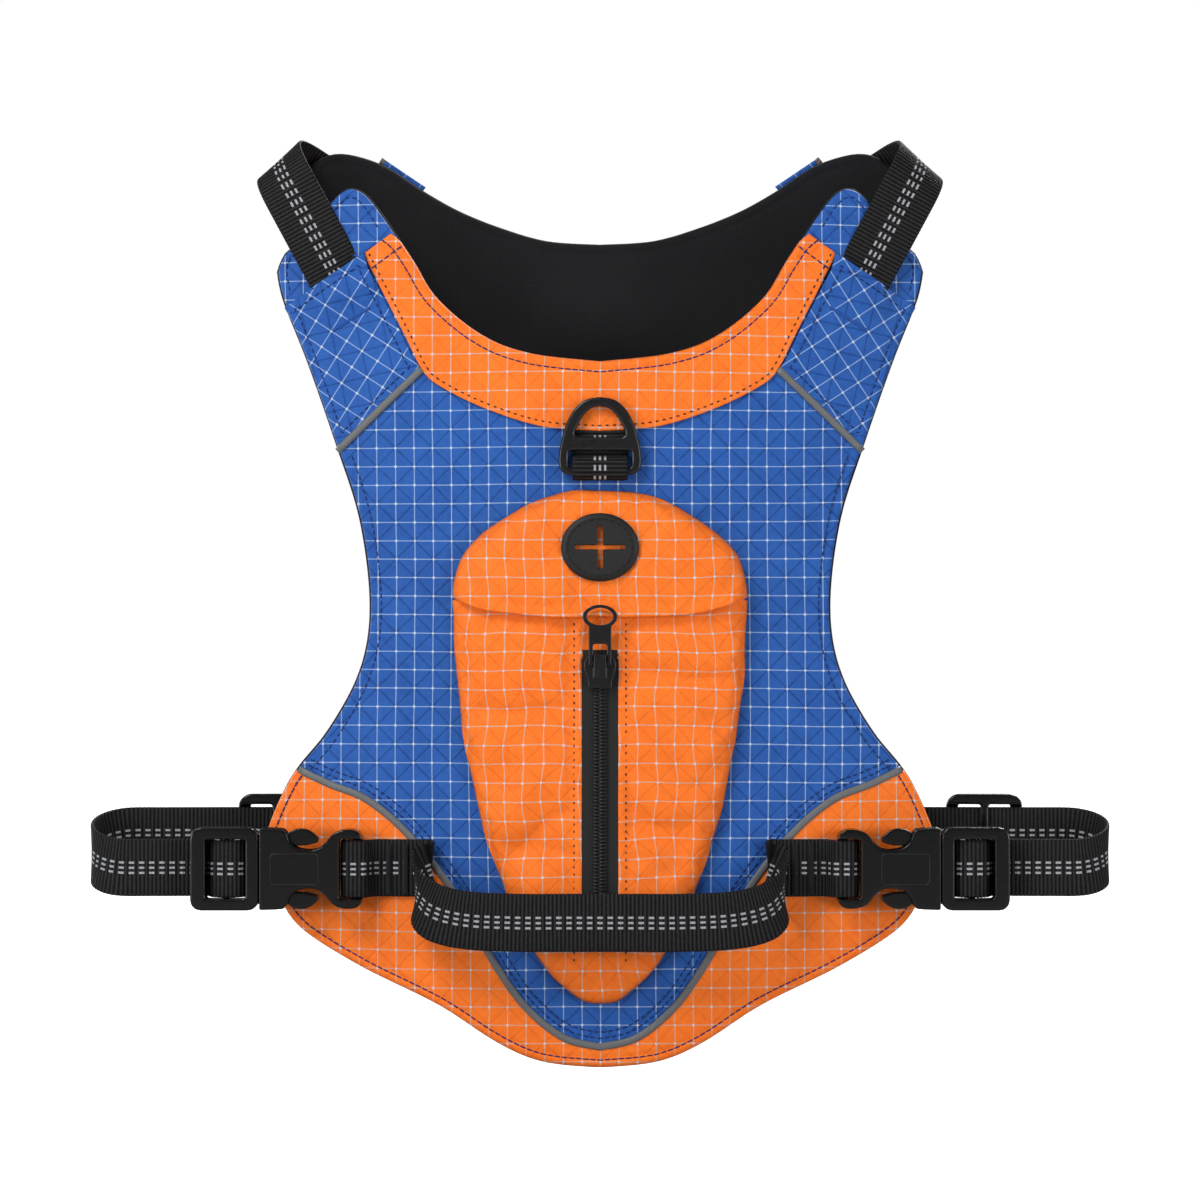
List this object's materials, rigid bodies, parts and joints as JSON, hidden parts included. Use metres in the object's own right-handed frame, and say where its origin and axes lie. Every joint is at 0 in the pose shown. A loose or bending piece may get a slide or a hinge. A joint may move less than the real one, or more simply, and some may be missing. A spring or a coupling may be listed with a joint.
{
  "type": "dog harness vest",
  "caption": "Padded vest harness: back panel with zipped pocket, carrying handle and leash ring; chest panel; adjustable shoulder and girth webbing with side-release buckles.",
  "frame": {"origin": "inside the vest, midway between its panels on the centre line, at the height of the girth strap on the chest", "axes": "+Z towards the neck, -Y out of the back panel (pocket side), +Y out of the chest panel, +X to the right when looking at the pocket"},
  "size_m": [0.4472, 0.0807, 0.4071],
  "materials": {
    "black_lining": "soft matt knit over foam",
    "blue_ripstop": "ripstop with a fine pale grid",
    "orange_ripstop": "ripstop with a fine pale grid",
    "grey_piping": "grey reflective tape",
    "black_webbing": "ribbed webbing with rows of pale reflective dashes",
    "black_plastic": "moulded acetal, fine grain",
    "black_rubber": "moulded rubber",
    "zip_tape": "woven tape",
    "zip_coil": "nylon coil",
    "black_metal": "black coated metal"
  },
  "bodies": {
    "vest": {"back_lining": "black_lining", "back_shell": "blue_ripstop", "buckle_female_left": "black_plastic", "buckle_female_right": "black_plastic", "chest_lining": "black_lining", "chest_shell": "blue_ripstop", "chest_shoulder_piping_left": "grey_piping", "chest_shoulder_piping_right": "grey_piping", "chest_shoulder_tab_left": "orange_ripstop", "chest_shoulder_tab_right": "orange_ripstop", "chest_side_piping_left": "grey_piping", "chest_side_piping_right": "grey_piping", "chest_side_tab_left": "orange_ripstop", "chest_side_tab_right": "orange_ripstop", "girth_strap_rear_left": "black_webbing", "girth_strap_rear_right": "black_webbing", "grommet": "black_rubber", "handle_tab_left": "black_webbing", "handle_tab_right": "black_webbing", "leash_ring_loop": "black_webbing", "neck_yoke": "orange_ripstop", "pocket_body": "orange_ripstop", "pocket_hood": "orange_ripstop", "retainer_band_left": "blue_ripstop", "retainer_band_right": "blue_ripstop", "shoulder_patch_left": "blue_ripstop", "shoulder_patch_right": "blue_ripstop", "shoulder_piping_left": "grey_piping", "shoulder_piping_right": "grey_piping", "shoulder_strap_left": "black_webbing", "shoulder_strap_right": "black_webbing", "wing_panel": "orange_ripstop", "wing_piping": "grey_piping", "zip_chain": "zip_coil", "zip_tape": "zip_tape"},
    "leash_ring": {"leash_ring": "black_metal"},
    "handle": {"handle_grip": "black_webbing"},
    "zip_slider": {"zip_slider": "black_metal"},
    "zip_pull": {"zip_pull": "black_metal"},
    "buckle_male_left": {"buckle_male_left": "black_plastic", "girth_strap_front_left": "black_webbing"},
    "buckle_arm_upper_left": {"buckle_arm_upper_left": "black_plastic"},
    "buckle_arm_lower_left": {"buckle_arm_lower_left": "black_plastic"},
    "girth_glide_left": {"girth_glide_left": "black_plastic"},
    "shoulder_glide_left": {"shoulder_glide_left": "black_plastic"},
    "buckle_male_right": {"buckle_male_right": "black_plastic", "girth_strap_front_right": "black_webbing"},
    "buckle_arm_upper_right": {"buckle_arm_upper_right": "black_plastic"},
    "buckle_arm_lower_right": {"buckle_arm_lower_right": "black_plastic"},
    "girth_glide_right": {"girth_glide_right": "black_plastic"},
    "shoulder_glide_right": {"shoulder_glide_right": "black_plastic"}
  },
  "joints": [
    {"name": "leash_ring_swing", "type": "hinge", "parent": "vest", "child": "leash_ring", "pos_m": [0, -0.0327, 0.1592], "axis": [1, 0, 0], "range_deg": [0, 150]},
    {"name": "handle_lift", "type": "hinge", "parent": "vest", "child": "handle", "pos_m": [0, -0.0283, 0.0001], "axis": [-1, 0, 0], "range_deg": [0, 95]},
    {"name": "zip_slide", "type": "slide", "parent": "vest", "child": "zip_slider", "axis": [0, 0, -1], "range_m": [0, 0.095]},
    {"name": "zip_pull_swing", "type": "hinge", "parent": "zip_slider", "child": "zip_pull", "pos_m": [0, -0.04345, 0.076], "axis": [1, 0, 0], "range_deg": [0, 165]},
    {"name": "buckle_release_left", "type": "slide", "parent": "vest", "child": "buckle_male_left", "axis": [-1, 0, 0], "range_m": [0, 0.032]},
    {"name": "squeeze_upper_left", "type": "hinge", "parent": "buckle_male_left", "child": "buckle_arm_upper_left", "pos_m": [-0.142, -0.029, -0.001], "axis": [0, 1, 0], "range_deg": [0, 7], "stiffness_Nm_per_rad": 0.05},
    {"name": "squeeze_lower_left", "type": "hinge", "parent": "buckle_male_left", "child": "buckle_arm_lower_left", "pos_m": [-0.142, -0.029, -0.025], "axis": [0, -1, 0], "range_deg": [0, 7], "stiffness_Nm_per_rad": 0.05},
    {"name": "girth_adjust_left", "type": "slide", "parent": "vest", "child": "girth_glide_left", "axis": [-0.9992, -0.0402, 0], "range_m": [0, 0.04]},
    {"name": "shoulder_adjust_left", "type": "slide", "parent": "vest", "child": "shoulder_glide_left", "axis": [0.8287, 0.1111, -0.5485], "range_m": [0, 0.028]},
    {"name": "buckle_release_right", "type": "slide", "parent": "vest", "child": "buckle_male_right", "axis": [1, 0, 0], "range_m": [0, 0.032]},
    {"name": "squeeze_upper_right", "type": "hinge", "parent": "buckle_male_right", "child": "buckle_arm_upper_right", "pos_m": [0.142, -0.029, -0.001], "axis": [0, -1, 0], "range_deg": [0, 7], "stiffness_Nm_per_rad": 0.05},
    {"name": "squeeze_lower_right", "type": "hinge", "parent": "buckle_male_right", "child": "buckle_arm_lower_right", "pos_m": [0.142, -0.029, -0.025], "axis": [0, 1, 0], "range_deg": [0, 7], "stiffness_Nm_per_rad": 0.05},
    {"name": "girth_adjust_right", "type": "slide", "parent": "vest", "child": "girth_glide_right", "axis": [0.9992, -0.0402, 0], "range_m": [-0.018, 0.016]},
    {"name": "shoulder_adjust_right", "type": "slide", "parent": "vest", "child": "shoulder_glide_right", "axis": [-0.8287, 0.1111, -0.5485], "range_m": [-0.02, 0.007]}
  ],
  "couplings": [
    {"joint": "squeeze_lower_left", "follows": "squeeze_upper_left", "ratio": 1},
    {"joint": "squeeze_lower_right", "follows": "squeeze_upper_right", "ratio": 1}
  ]
}
